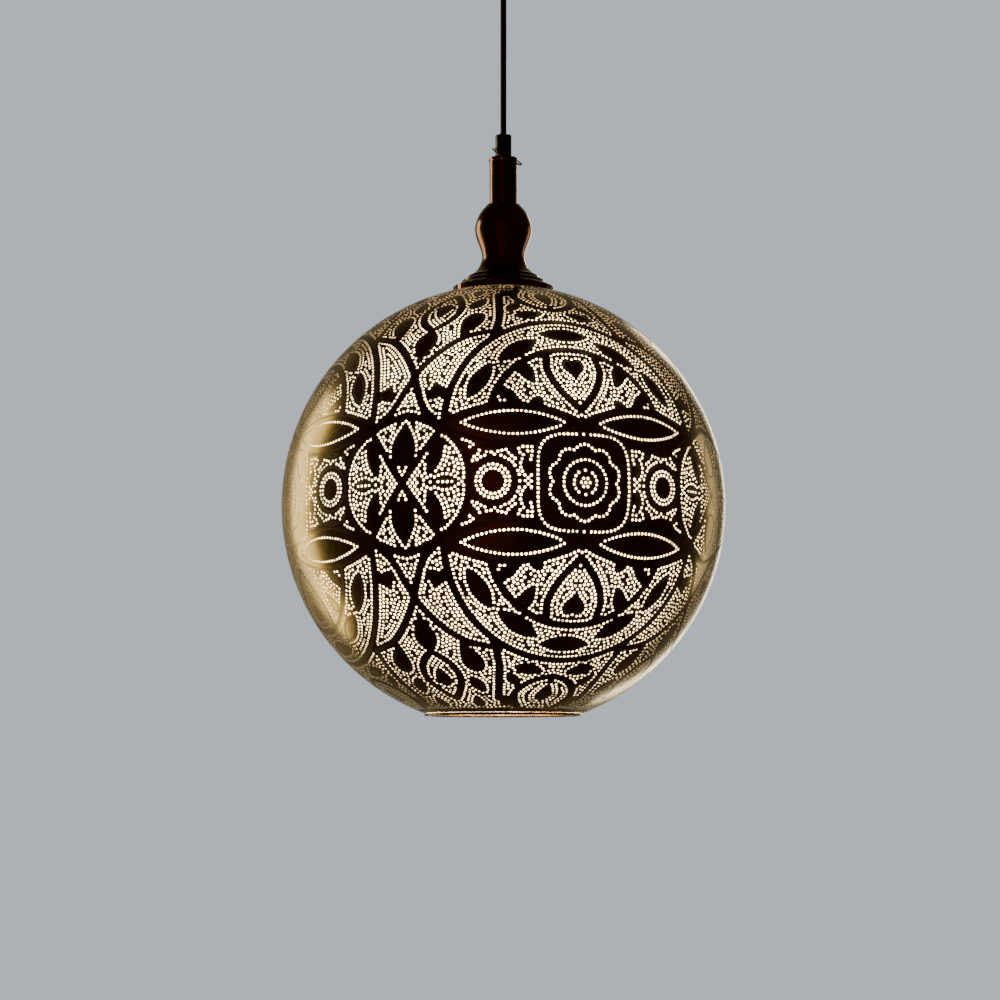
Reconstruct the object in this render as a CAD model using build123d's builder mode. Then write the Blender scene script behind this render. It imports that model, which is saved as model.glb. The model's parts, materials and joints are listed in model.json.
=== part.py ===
"""Hanging lantern: a pierced brass globe on a turned neck, hung by a cord from a ceiling rose.

Millimetres. +Z is up. The origin is the middle of the ceiling rose's flat top, where it meets the ceiling.
The globe's front faces -Y. Heights in the lantern are measured from the globe's centre and placed by up().
"""
from build123d import *
import math
import os

# ---------------------------------------------------------------- driving dimensions
globe_radius = 200.0  # outside of the pierced shell
globe_wall = 1.0
drop = 535.0  # ceiling to the globe's centre
mouth_radius = 71.0  # open bottom, for changing the bulb
rim_height = 2.4
rim_depth = 3.2  # how far the rolled rim stands inwards
globe_top_hole = 14.0  # radius of the hole under the flange

fit_gap = 0.05  # between faces that are screwed or seated together
running_gap = 0.10  # between faces that turn on each other
free_gap = 0.35  # between faces that must never touch

# flange, neck and collar
flange_radius = 46.0
flange_rim = 5.4  # height of the flange's edge
flange_wall = 1.5
flange_height = 24.0  # the flange's top above the crown of the globe
flange_top_radius = 20.4
scallops = 30
scallop_radius = 2.6
scallop_depth = 1.1
neck_wall = 1.3
waist_radius = 19.5
belly_radius = 26.0
neck_shoulder_radius = 16.1
baluster_height = 53.0
tube_radius = 12.7
tube_height = 44.0
lip_radius = 13.3
lip_height = 3.0
collar_radius = 7.6
collar_height = 21.6

# rod and its nuts
rod_radius = 5.0
rod_bore = 3.4
nut_flats = 14.0
clamp_nut_height = 5.0
holder_nut_height = 2.2
clamp_plate_radius = 28.0
clamp_plate_edge = 1.8

# cord
cord_radius = 2.85
ferrule_radius = 4.4
ferrule_height = 4.4
wire_radius = 0.9
wire_spacing = 1.5  # radius of the circle that the three wires lie on

# loose ring on the collar
ring_radius = 15.0
ring_wire = 0.8
ring_tilt = 35.3
ring_heading = -34.0  # the way its low side points, from +X
ring_aside = 1.2  # how far it has slid across that way
ring_rise = 1.5  # its centre, above the tube's top

# lampholder and bulb
holder_radius = 21.5
holder_cap_height = 19.5
holder_skirt_height = 40.0
holder_wall = 1.9
skirt_mouth_radius = 18.6
skirt_bore = 16.5
insert_height = 10.0
shell_bore = 13.35
shell_wall = 0.5
shell_height = 27.0
bulb_cap_radius = 13.0
bulb_radius = 30.0
bulb_neck_radius = 11.5
bulb_glass_wall = 0.8
bulb_length = 105.0
filament_radius = 9.0
filament_wire = 0.45

# ceiling fitting
rose_radius = 50.0
rose_height = 30.0
rose_wall = 1.0
strap_width = 20.0
strap_thickness = 2.0
tab_height = 9.0
tab_width = 12.0
earth_inset = 14.0  # the earth screw, in from the rose's side
fixing_inset = 11.0  # each fixing slot's middle, in from the earth screw
fixing_slot_length = 12.0
fixing_hole_radius = 2.25
rose_screw_radius = 2.0
rose_screw_length = 7.0
block_length = 28.0
block_width = 16.0
block_height = 11.0
gland_radius = 8.6
gland_cap_radius = 10.5
gland_flange_height = 6.0
bush_radius = 7.0
bush_low = 4.2  # the bush's lower face, below its centre
bush_high = 1.2  # its upper face, above its centre
swing_limit = 15.0

# ---------------------------------------------------------------- levels
centre = -drop
mouth_level = -math.sqrt(globe_radius**2 - mouth_radius**2)
seat_level = math.sqrt((globe_radius + fit_gap) ** 2 - flange_radius**2)
flange_top = globe_radius + flange_height
baluster_top = flange_top + baluster_height
tube_top = baluster_top + tube_height  # where the collar stands
collar_top = tube_top + collar_height
collar_shoulder = collar_top - 9.0  # the ferrule hangs the lantern from here
rod_top = collar_shoulder - ferrule_height - 1.6
shell_top_inside = globe_radius - globe_wall
plate_low = math.sqrt((shell_top_inside - fit_gap) ** 2 - clamp_plate_radius**2) - clamp_plate_edge
clamp_nut_low = plate_low - clamp_nut_height
holder_nut_low = clamp_nut_low - holder_nut_height
cap_top = holder_nut_low
cap_low = cap_top - holder_cap_height
rod_low = cap_top - 7.5
skirt_low = cap_low - holder_skirt_height
insert_low = cap_low - insert_height + 0.5
bulb_tip = insert_low + 0.5
bulb_low = bulb_tip - bulb_length
bulb_middle = bulb_low + bulb_radius
bulb_cap_top = bulb_tip - 5.0
bulb_cap_low = bulb_cap_top - 22.5
pivot = -rose_height - 2 * gland_flange_height  # where the cord swings
earth_place = rose_radius - earth_inset
fixing_place = earth_place - fixing_inset


def up(height):
    """Turn a height above the globe's centre into a height in the part's frame."""
    return centre + height


def outline(*points):
    """A closed face in the XZ plane through (radius, height) points, for turning about Z."""
    with BuildSketch(Plane.XZ, mode=Mode.PRIVATE) as face:
        with BuildLine():
            Polyline(*points, close=True)
        make_face()
    return face.sketch


def save(node, piece):
    """Label a finished piece and write it to its own file."""
    piece.part.label = node
    export_step(piece.part, f"parts/{node}.step")


os.makedirs("parts", exist_ok=True)

# ---------------------------------------------------------------- globe
with BuildPart() as globe_upper:
    with BuildSketch(Plane.XZ):
        with BuildLine():
            outer_top = (globe_top_hole, up(math.sqrt(globe_radius**2 - globe_top_hole**2)))
            inner_top = (globe_top_hole, up(math.sqrt(shell_top_inside**2 - globe_top_hole**2)))
            RadiusArc((globe_radius, up(0)), outer_top, -globe_radius)
            Line(outer_top, inner_top)
            RadiusArc(inner_top, (shell_top_inside, up(0)), shell_top_inside)
            Line((shell_top_inside, up(0)), (globe_radius, up(0)))
        make_face()
    revolve(axis=Axis.Z)
save("globe_upper", globe_upper)

with BuildPart() as globe_lower:
    with BuildSketch(Plane.XZ):
        with BuildLine():
            outer_edge = (mouth_radius, up(mouth_level))
            inner_edge = (math.sqrt(shell_top_inside**2 - mouth_level**2), up(mouth_level))
            RadiusArc(outer_edge, (globe_radius, up(0)), -globe_radius)
            Line((globe_radius, up(0)), (shell_top_inside, up(0)))
            RadiusArc((shell_top_inside, up(0)), inner_edge, shell_top_inside)
            Line(inner_edge, outer_edge)
        make_face()
    revolve(axis=Axis.Z)
save("globe_lower", globe_lower)

with BuildPart() as bottom_rim:
    with BuildSketch(Plane.XZ):
        with Locations((mouth_radius - rim_depth / 2, up(mouth_level) - rim_height / 2)):
            RectangleRounded(rim_depth, rim_height, rim_height * 0.4)
    revolve(axis=Axis.Z)
save("bottom_rim", bottom_rim)

# ---------------------------------------------------------------- flange and neck
rim_top = seat_level + flange_rim
flare = rim_top - seat_level
rise = flange_top - rim_top  # the flange climbs this far from its edge to the neck
run = flange_radius - flange_top_radius  # and comes in by this much

# (share of the run inwards, share of the rise upwards) along the stepped, concave top
flange_steps = [
    (0.00, 0.00), (0.13, 0.06), (0.30, 0.17), (0.32, 0.25), (0.50, 0.35),
    (0.53, 0.43), (0.70, 0.52), (0.76, 0.58), (0.88, 0.72), (0.96, 0.88), (1.00, 1.00),
]  # fmt: skip

with BuildPart() as shoulder_flange:
    outside = [(flange_radius - run * x, up(rim_top + rise * z)) for x, z in flange_steps]
    inside = [(r - flange_wall * 0.8, z - flange_wall) for r, z in outside[1:-1]]
    neck_inside = (flange_top_radius - flange_wall, up(flange_top))
    foot_radius = flange_radius - flange_wall
    foot = (foot_radius, up(math.sqrt((globe_radius + fit_gap) ** 2 - foot_radius**2)))
    edge = (flange_radius, up(seat_level))
    revolve(outline(edge, *outside, neck_inside, *reversed(inside), foot), axis=Axis.Z)
    with BuildSketch(Plane.XY.offset(up(seat_level - flare))):
        with PolarLocations(flange_radius + scallop_radius - scallop_depth, scallops):
            Circle(scallop_radius)
    extrude(amount=3 * flare, mode=Mode.SUBTRACT)
save("shoulder_flange", shoulder_flange)

# (radius, share of the baluster's height) down its curve
baluster_curve = [
    (flange_top_radius - 0.2, 0.0),
    (waist_radius, 0.12),
    (waist_radius + 0.4 * (belly_radius - waist_radius), 0.29),
    (belly_radius, 0.56),
    (belly_radius - 0.30 * (belly_radius - neck_shoulder_radius), 0.80),
    (neck_shoulder_radius, 0.98),
]

with BuildPart() as neck_baluster:
    with BuildSketch(Plane.XZ):
        with BuildLine():
            curve = [(r, up(flange_top + baluster_height * s)) for r, s in baluster_curve]
            inner_curve = [(r - neck_wall, z - neck_wall * s) for (r, z), (_, s) in zip(curve, baluster_curve)]
            top_edge = (neck_shoulder_radius - 0.6, up(baluster_top))
            hole_edge = (rod_radius + fit_gap, up(baluster_top))
            hole_under = (rod_radius + fit_gap, inner_curve[-1][1])
            Spline(*curve)
            Line(curve[-1], top_edge)
            Line(top_edge, hole_edge)
            Line(hole_edge, hole_under)
            Line(hole_under, inner_curve[-1])
            Spline(*reversed(inner_curve))
            Line(inner_curve[0], curve[0])
        make_face()
    revolve(axis=Axis.Z)
save("neck_baluster", neck_baluster)

tube_recess = 0.8  # depth of the seat that the collar stands in
tube_roof = tube_top - tube_recess
with BuildPart() as neck_tube:
    lip_low = tube_top - lip_height
    revolve(
        outline(
            (tube_radius, up(baluster_top)),
            (tube_radius, up(lip_low)),
            (lip_radius, up(lip_low + 0.25 * lip_height)),
            (lip_radius, up(lip_low + 0.85 * lip_height)),
            (lip_radius - 0.5, up(tube_top)),
            (collar_radius + 1.2, up(tube_top)),
            (collar_radius + 1.0, up(tube_roof)),
            (rod_radius + fit_gap, up(tube_roof)),
            (rod_radius + fit_gap, up(tube_roof - neck_wall)),
            (tube_radius - neck_wall, up(tube_roof - neck_wall)),
            (tube_radius - neck_wall, up(baluster_top)),
        ),
        axis=Axis.Z,
    )
save("neck_tube", neck_tube)

collar_low = tube_roof
with BuildPart() as grip_collar:
    with BuildSketch(Plane.XY.offset(up(collar_low))):
        Circle(collar_radius)
    extrude(amount=collar_top - collar_low)
    chamfer(grip_collar.edges().sort_by(Axis.Z)[-1], 0.6)
    with BuildSketch(Plane.XY.offset(up(collar_low))):
        Circle(rod_radius + fit_gap)
    extrude(amount=collar_shoulder - collar_low, mode=Mode.SUBTRACT)
    with BuildSketch(Plane.XY.offset(up(collar_low))):
        Circle(cord_radius + running_gap)
    extrude(amount=collar_top - collar_low, mode=Mode.SUBTRACT)
save("grip_collar", grip_collar)

# ---------------------------------------------------------------- rod, plate and nuts
with BuildPart() as threaded_rod:
    with BuildSketch(Plane.XY.offset(up(rod_low))):
        Circle(rod_radius)
        Circle(rod_bore, mode=Mode.SUBTRACT)
    extrude(amount=rod_top - rod_low)
save("threaded_rod", threaded_rod)

with BuildPart() as clamp_plate:
    plate_sphere = shell_top_inside - fit_gap
    plate_bore = rod_radius + fit_gap
    with BuildSketch(Plane.XZ):
        with BuildLine():
            plate_rim = (clamp_plate_radius, up(plate_low + clamp_plate_edge))
            plate_crown = (plate_bore, up(math.sqrt(plate_sphere**2 - plate_bore**2)))
            RadiusArc(plate_rim, plate_crown, -plate_sphere)
            Line(plate_crown, (plate_bore, up(plate_low)))
            Line((plate_bore, up(plate_low)), (clamp_plate_radius, up(plate_low)))
            Line((clamp_plate_radius, up(plate_low)), plate_rim)
        make_face()
    revolve(axis=Axis.Z)
save("clamp_plate", clamp_plate)

with BuildPart() as clamp_nut:
    with BuildSketch(Plane.XY.offset(up(clamp_nut_low))):
        RegularPolygon(nut_flats / 2, 6, major_radius=False)
        Circle(rod_radius + fit_gap, mode=Mode.SUBTRACT)
    extrude(amount=clamp_nut_height)
save("clamp_nut", clamp_nut)

with BuildPart() as holder_nut:
    with BuildSketch(Plane.XY.offset(up(holder_nut_low))):
        RegularPolygon(nut_flats / 2, 6, major_radius=False)
        Circle(rod_radius + fit_gap, mode=Mode.SUBTRACT)
    extrude(amount=holder_nut_height)
save("holder_nut", holder_nut)

# ---------------------------------------------------------------- cord, its stop and the wires in the rod
with BuildPart() as cord:
    with Locations((0, 0, pivot)):
        Sphere(cord_radius)
    with BuildSketch(Plane.XY.offset(pivot)):
        Circle(cord_radius)
    extrude(amount=up(collar_shoulder - ferrule_height) - running_gap - 0.4 - pivot)
save("cord", cord)

with BuildPart() as cord_ferrule:
    with BuildSketch(Plane.XY.offset(up(collar_shoulder) - running_gap - ferrule_height)):
        Circle(ferrule_radius)
        Circle(cord_radius, mode=Mode.SUBTRACT)
    extrude(amount=ferrule_height)
    chamfer(cord_ferrule.edges().filter_by(GeomType.CIRCLE).sort_by(SortBy.RADIUS)[-2:], 0.4)
save("cord_ferrule", cord_ferrule)

wire_top = up(rod_top) + 0.6
terminal_circle = 11.0
terminal_size = 5.0
insert_top = insert_low + insert_height
terminal_top = insert_top + terminal_size


def bent_wire(points, bend):
    """The path of a wire through the points, with arcs of the same bend at the corners."""
    with BuildLine(mode=Mode.PRIVATE) as path:
        FilletPolyline(*points, radius=bend)
    return path


def rod_wire_points(turn):
    """From the cord's end down the rod's bore, then out to a terminal on the insert."""
    c, s = math.cos(math.radians(turn)), math.sin(math.radians(turn))
    return [
        (wire_spacing * c, wire_spacing * s, wire_top),
        (wire_spacing * c, wire_spacing * s, up(rod_low) - 1.0),
        (terminal_circle * c, terminal_circle * s, up(terminal_top) + 2.5),
        (terminal_circle * c, terminal_circle * s, up(terminal_top)),
    ]


rod_wires = {"live_wire": 180.0, "neutral_wire": 0.0, "earth_wire": 90.0}
for node, turn in rod_wires.items():
    route = bent_wire(rod_wire_points(turn), 2.0)
    with BuildPart() as wire:
        with BuildSketch(Plane(route.line @ 0, z_dir=route.line % 0)):
            Circle(wire_radius)
        sweep(path=route.line)
    save(node, wire)

# ---------------------------------------------------------------- lampholder
cap_roof = 3.0  # thickness of the cap's flat top
cap_side = 6.5  # height of its straight side
# (share of the cap's radius, share of the dome's drop) over the domed shoulder
cap_dome = [(0.45, 0.0), (0.70, 0.19), (0.92, 0.61), (1.0, 1.0)]
dome_drop = holder_cap_height - cap_side
with BuildPart() as holder_cap:
    dome = [(holder_radius * r, up(cap_top - dome_drop * z)) for r, z in cap_dome]
    under = [(holder_radius * r - holder_wall, up(cap_top - dome_drop * z) - 0.6 * holder_wall) for r, z in cap_dome[1:]]
    revolve(
        outline(
            (rod_radius + fit_gap, up(cap_top)),
            *dome,
            (holder_radius, up(cap_low)),
            (holder_radius - holder_wall, up(cap_low)),
            *reversed(under),
            (dome[0][0], up(cap_top - cap_roof)),
            (rod_radius + fit_gap, up(cap_top - cap_roof)),
        ),
        axis=Axis.Z,
    )
save("holder_cap", holder_cap)

insert_rim = holder_radius - holder_wall - 0.2
insert_rim_height = 2.4
with BuildPart() as holder_skirt:
    revolve(
        outline(
            (holder_radius, up(cap_low)),
            (holder_radius, up(cap_low - 7.0)),
            (holder_radius - 1.4, up(cap_low - 8.4)),
            (skirt_mouth_radius, up(skirt_low)),
            (skirt_bore, up(skirt_low)),
            (skirt_bore, up(cap_low - insert_rim_height)),
            (holder_radius - holder_wall, up(cap_low - insert_rim_height)),
            (holder_radius - holder_wall, up(cap_low)),
        ),
        axis=Axis.Z,
    )
save("holder_skirt", holder_skirt)

contact_recess = 7.5
recess_height = 5.5
spring_length = 11.0
spring_width = 4.0
spring_thickness = 0.6
with BuildPart() as holder_insert:
    with BuildSketch(Plane.XY.offset(up(insert_low))):
        Circle(skirt_bore - 0.2)
    extrude(amount=insert_height)
    with BuildSketch(Plane.XY.offset(up(cap_low - insert_rim_height))):
        Circle(insert_rim)
    extrude(amount=insert_rim_height)
    with BuildSketch(Plane.XY.offset(up(insert_low))):
        Circle(contact_recess)
    extrude(amount=recess_height, mode=Mode.SUBTRACT)
save("holder_insert", holder_insert)

with BuildPart() as screw_shell:
    with BuildSketch(Plane.XY.offset(up(insert_low - shell_height))):
        Circle(shell_bore + shell_wall)
        Circle(shell_bore, mode=Mode.SUBTRACT)
    extrude(amount=shell_height)
    with BuildSketch(Plane.XY.offset(up(insert_low - shell_wall))):
        Circle(shell_bore + shell_wall)
        Circle(contact_recess + 1.5, mode=Mode.SUBTRACT)
    extrude(amount=shell_wall)
save("screw_shell", screw_shell)

with BuildPart() as centre_contact:
    with BuildSketch(Plane.XY.offset(up(insert_low + recess_height - spring_thickness))):
        Rectangle(spring_length, spring_width)
    extrude(amount=spring_thickness)
    with BuildSketch(Plane.XY.offset(up(bulb_tip) + free_gap)):
        Circle(spring_width / 2)
    extrude(amount=insert_low + recess_height - spring_thickness - bulb_tip - free_gap)
save("centre_contact", centre_contact)

with BuildPart() as holder_terminals:
    for turn in rod_wires.values():
        post = Plane.XY.offset(up(insert_top)).rotated((0, 0, turn))
        with BuildSketch(post):
            with Locations((terminal_circle, 0)):
                RectangleRounded(terminal_size, terminal_size, 0.8)
        extrude(amount=terminal_size)
save("holder_terminals", holder_terminals)

# ---------------------------------------------------------------- bulb
thread_pitch = 3.6
thread_depth = 0.6
thread_turns = 6


def cap_thread():
    """The cap's side, its thread drawn as six rounded ridges, from the top down."""
    points = []
    for turn in range(thread_turns):
        top = bulb_cap_top - thread_pitch * turn
        points.append((bulb_cap_radius - thread_depth, up(top)))
        points.append((bulb_cap_radius, up(top - 0.35 * thread_pitch)))
        points.append((bulb_cap_radius, up(top - 0.65 * thread_pitch)))
    points.append((bulb_cap_radius - thread_depth, up(bulb_cap_top - thread_pitch * thread_turns)))
    return points


cap_bore = bulb_neck_radius + 0.2
with BuildPart() as bulb_cap:
    revolve(
        outline(
            *cap_thread(),
            (bulb_cap_radius - thread_depth, up(bulb_cap_low)),
            (cap_bore, up(bulb_cap_low)),
            (cap_bore, up(bulb_cap_top)),
        ),
        axis=Axis.Z,
    )
save("bulb_cap", bulb_cap)

contact_radius = 4.5
with BuildPart() as bulb_insulator:
    revolve(
        outline(
            (0, up(bulb_cap_top - 1.5)),
            (cap_bore, up(bulb_cap_top - 1.5)),
            (cap_bore, up(bulb_cap_top)),
            (bulb_cap_radius - thread_depth - 0.4, up(bulb_cap_top)),
            (contact_radius + 0.5, up(bulb_tip - 1.0)),
            (0, up(bulb_tip - 1.0)),
        ),
        axis=Axis.Z,
    )
save("bulb_insulator", bulb_insulator)

with BuildPart() as bulb_contact:
    with BuildSketch(Plane.XY.offset(up(bulb_tip - 1.0))):
        Circle(contact_radius)
    extrude(amount=1.0)
    chamfer(bulb_contact.edges().sort_by(Axis.Z)[-1], 0.4)
save("bulb_contact", bulb_contact)

glass_top = bulb_cap_low + 8.0


def bulb_profile(inset):
    """Half the bulb's outline, a neck that swells into a sphere, set in by the given amount."""
    neck = bulb_neck_radius - inset
    ball = bulb_radius - inset
    joint = (0.8 * ball, up(bulb_middle + 0.6 * ball))
    neck_low = (neck, up(bulb_cap_low - 3.0))
    bottom = (0, up(bulb_middle - ball))
    with BuildSketch(Plane.XZ, mode=Mode.PRIVATE) as face:
        with BuildLine():
            Line((0, up(glass_top)), (neck, up(glass_top)))
            Line((neck, up(glass_top)), neck_low)
            Spline(neck_low, joint, tangents=[(0, -1), (0.6, -0.8)])
            RadiusArc(joint, bottom, ball)
            Line(bottom, (0, up(glass_top)))
        make_face()
    return face.sketch


with BuildPart() as bulb_glass:
    revolve(bulb_profile(0), axis=Axis.Z)
    revolve(bulb_profile(bulb_glass_wall), axis=Axis.Z, mode=Mode.SUBTRACT)
save("bulb_glass", bulb_glass)

flare_radius = bulb_neck_radius - bulb_glass_wall - fit_gap
stem_radius = 2.6
filament_level = bulb_middle + 3.0
stem_low = filament_level + 9.0
with BuildPart() as bulb_stem:
    revolve(
        outline(
            (0, up(glass_top)),
            (flare_radius, up(glass_top)),
            (flare_radius, up(glass_top - 1.0)),
            (stem_radius + 1.5, up(glass_top - 14.0)),
            (stem_radius, up(glass_top - 20.0)),
            (stem_radius, up(stem_low + 3.0)),
            (stem_radius + 1.2, up(stem_low + 1.5)),
            (stem_radius + 1.0, up(stem_low)),
            (0, up(stem_low - 0.8)),
        ),
        axis=Axis.Z,
    )
save("bulb_stem", bulb_stem)

support_turns = [-150.0, -90.0, -30.0, 30.0, 90.0, 150.0]
with BuildPart() as support_wires:
    for turn in support_turns:
        c, s = math.cos(math.radians(turn)), math.sin(math.radians(turn))
        low = filament_level + filament_wire
        spoke = bent_wire(
            [
                (1.2 * c, 1.2 * s, up(stem_low - 0.6)),
                (4.0 * c, 4.0 * s, up(stem_low - 4.0)),
                (filament_radius * c, filament_radius * s, up(low + 2.0)),
                (filament_radius * c, filament_radius * s, up(low)),
            ],
            0.8,
        )
        with BuildSketch(Plane(spoke.line @ 0, z_dir=spoke.line % 0)):
            Circle(0.25)
        sweep(path=spoke.line)
save("support_wires", support_wires)

with BuildPart() as filament:
    with BuildLine() as coil_line:
        CenterArc((0, 0, up(filament_level)), filament_radius, -160, 320)
    with BuildSketch(Plane(coil_line.line @ 0, z_dir=coil_line.line % 0)):
        Circle(filament_wire)
    sweep(path=coil_line.line)
save("filament", filament)

# ---------------------------------------------------------------- loose ring on the collar
lean = math.radians(ring_tilt)
heading = math.radians(ring_heading)
ring_high = collar_radius + ring_wire + free_gap  # its high side is beside the collar
ring_offset = ring_radius * math.cos(lean) - ring_high
ring_level = tube_top + ring_rise
ring_axis = (math.sin(lean) * math.cos(heading), math.sin(lean) * math.sin(heading), math.cos(lean))
ring_x = ring_offset * math.cos(heading) - ring_aside * math.sin(heading)
ring_y = ring_offset * math.sin(heading) + ring_aside * math.cos(heading)
ring_centre = (ring_x, ring_y, up(ring_level))
with BuildPart() as neck_ring:
    with BuildLine(Plane(ring_centre, x_dir=(-math.sin(heading), math.cos(heading), 0), z_dir=ring_axis)) as ring_line:
        CenterArc((0, 0), ring_radius, 0, 360)
    with BuildSketch(Plane(ring_line.line @ 0, z_dir=ring_line.line % 0)):
        Circle(ring_wire)
    sweep(path=ring_line.line)
save("neck_ring", neck_ring)

# ---------------------------------------------------------------- ceiling fitting
tab_outside = math.sqrt((rose_radius - rose_wall) ** 2 - (tab_width / 2) ** 2) - free_gap
screw_level = -tab_height / 2
with BuildPart() as ceiling_bracket:
    with BuildSketch(Plane.XY.offset(-strap_thickness)):
        RectangleRounded(2 * tab_outside, strap_width, 3.0)
        with GridLocations(2 * fixing_place, 0, 2, 1):
            SlotOverall(fixing_slot_length, 2 * fixing_hole_radius, mode=Mode.SUBTRACT)
        with Locations((earth_place, 0)):
            Circle(rose_screw_radius + fit_gap, mode=Mode.SUBTRACT)
    extrude(amount=strap_thickness)
    with BuildSketch(Plane.XY.offset(-tab_height)):
        with Locations((tab_outside - strap_thickness / 2, 0), (strap_thickness / 2 - tab_outside, 0)):
            Rectangle(strap_thickness, tab_width)
    extrude(amount=tab_height - strap_thickness)
    with BuildSketch(Plane.YZ.offset(-tab_outside)):
        with Locations((0, screw_level)):
            Circle(rose_screw_radius + fit_gap)
    extrude(amount=2 * tab_outside, mode=Mode.SUBTRACT)
save("ceiling_bracket", ceiling_bracket)

bottom_hole = rod_radius + fit_gap
with BuildPart() as canopy:
    # (radius, level) down the outside of the spun cup
    cup = [
        (rose_radius, 0),
        (rose_radius, -0.30 * rose_height),
        (0.97 * rose_radius, -0.45 * rose_height),
        (0.88 * rose_radius, -0.62 * rose_height),
        (0.70 * rose_radius, -0.82 * rose_height),
        (0.45 * rose_radius, -0.95 * rose_height),
        (0.26 * rose_radius, -rose_height),
    ]
    hollow = [(r - rose_wall, z if z == 0 else z + 0.8 * rose_wall) for r, z in cup[:-1]]
    floor = -rose_height + rose_wall
    revolve(
        outline(*cup, (bottom_hole, -rose_height), (bottom_hole, floor), (cup[-1][0], floor), *reversed(hollow)),
        axis=Axis.Z,
    )
    with BuildSketch(Plane.YZ.offset(-rose_radius - 1)):
        with Locations((0, screw_level)):
            Circle(rose_screw_radius + 0.2)
    extrude(amount=2 * rose_radius + 2, mode=Mode.SUBTRACT)
save("canopy", canopy)

screw_head_radius = 3.4
screw_head_height = 2.2
with BuildPart() as canopy_screws:
    for side in (1, -1):
        seat = Plane((side * rose_radius, 0, screw_level), z_dir=(side, 0, 0))
        with BuildSketch(seat):
            Circle(screw_head_radius)
        extrude(amount=screw_head_height)
        chamfer(canopy_screws.edges().sort_by(Axis.X)[-1 if side > 0 else 0], 0.7)
        with BuildSketch(seat.offset(screw_head_height)):
            Rectangle(0.9, 2 * screw_head_radius)
        extrude(amount=-0.8, mode=Mode.SUBTRACT)
        with BuildSketch(seat):
            Circle(rose_screw_radius)
        extrude(amount=-rose_screw_length)
save("canopy_screws", canopy_screws)

with BuildPart() as earth_screw:
    with BuildSketch(Plane((earth_place, 0, -strap_thickness))):
        Circle(screw_head_radius)
    extrude(amount=-screw_head_height)
    with BuildSketch(Plane((earth_place, 0, -strap_thickness))):
        Circle(rose_screw_radius)
    extrude(amount=strap_thickness)
save("earth_screw", earth_screw)

block_low = -strap_thickness - block_height
with BuildPart() as terminal_block:
    with BuildSketch(Plane.XY.offset(block_low)):
        RectangleRounded(block_length, block_width, 1.5)
    extrude(amount=block_height)
    with BuildSketch(Plane.XY.offset(block_low)):
        with GridLocations(block_length / 3, 0, 2, 1):
            Rectangle(1.2, block_width)
    extrude(amount=3.0, mode=Mode.SUBTRACT)
save("terminal_block", terminal_block)

with BuildPart() as terminal_screws:
    with BuildSketch(Plane.XZ.offset(block_width / 2)):
        with Locations((0, block_low + block_height / 2)):
            with GridLocations(block_length / 3, 0, 3, 1):
                Circle(1.9)
    extrude(amount=1.0)
save("terminal_screws", terminal_screws)

gland_flange_low = -rose_height - gland_flange_height
socket = bush_radius + running_gap
tail_low = pivot + cord_radius + running_gap
tail_high = -rose_height + 7.5
with BuildPart() as gland_body:
    with BuildSketch(Plane.XY.offset(pivot + fit_gap)):
        Circle(gland_radius)
    extrude(amount=gland_flange_low - pivot - fit_gap)
    with BuildSketch(Plane.XY.offset(gland_flange_low)):
        RegularPolygon(gland_cap_radius, 6, major_radius=False)
    extrude(amount=gland_flange_height)
    with BuildSketch(Plane.XY.offset(-rose_height)):
        Circle(rod_radius)
    extrude(amount=6.5)
    with BuildSketch(Plane.XY.offset(pivot)):
        Circle(cord_radius + fit_gap)
    extrude(amount=-pivot, mode=Mode.SUBTRACT)
    with Locations((0, 0, pivot)):
        Sphere(socket, mode=Mode.SUBTRACT)
save("gland_body", gland_body)

gland_mouth_low = pivot - bush_low - 0.4
mouth_inside = math.sqrt(socket**2 - (pivot - gland_mouth_low) ** 2)
with BuildPart() as gland_cap:
    revolve(
        outline(
            (gland_radius + fit_gap, gland_flange_low - fit_gap),
            (gland_cap_radius, gland_flange_low - fit_gap),
            (gland_cap_radius, pivot),
            (gland_cap_radius - 1.0, pivot - 2.0),
            (mouth_inside + 1.2, gland_mouth_low),
            (1.0, gland_mouth_low),
            (1.0, pivot),
            (gland_radius + fit_gap, pivot),
        ),
        axis=Axis.Z,
    )
    with Locations((0, 0, pivot)):
        Sphere(socket, mode=Mode.SUBTRACT)
    with BuildSketch(Plane.XY.offset(gland_mouth_low)):
        Circle(mouth_inside)
    extrude(amount=1.0, mode=Mode.SUBTRACT)
save("gland_cap", gland_cap)

with BuildPart() as gland_nut:
    with BuildSketch(Plane.XY.offset(floor)):
        RegularPolygon(nut_flats / 2, 6, major_radius=False)
        Circle(rod_radius + fit_gap, mode=Mode.SUBTRACT)
    extrude(amount=3.5)
save("gland_nut", gland_nut)

bore_slope = math.tan(math.radians(swing_limit + 4.0))
throat = cord_radius + running_gap
with BuildPart() as swing_bush:
    with Locations((0, 0, pivot)):
        Sphere(bush_radius)
    with BuildSketch(Plane.XY.offset(pivot + bush_high)):
        Circle(2 * bush_radius)
    extrude(amount=bush_radius, mode=Mode.SUBTRACT)
    with BuildSketch(Plane.XY.offset(pivot - bush_low)):
        Circle(2 * bush_radius)
    extrude(amount=-bush_radius, mode=Mode.SUBTRACT)
    throat_low = throat + 0.15 + bush_low * bore_slope
    throat_high = throat + 0.15 + bush_high * bore_slope
    revolve(
        outline(
            (0, pivot + bush_high),
            (throat_high, pivot + bush_high),
            (throat + 0.15, pivot),
            (throat_low, pivot - bush_low),
            (0, pivot - bush_low),
        ),
        axis=Axis.Z,
        mode=Mode.SUBTRACT,
    )
save("swing_bush", swing_bush)

with BuildPart() as cord_tail:
    with BuildSketch(Plane.XY.offset(tail_low)):
        Circle(cord_radius)
    extrude(amount=tail_high - tail_low)
save("cord_tail", cord_tail)

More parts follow.
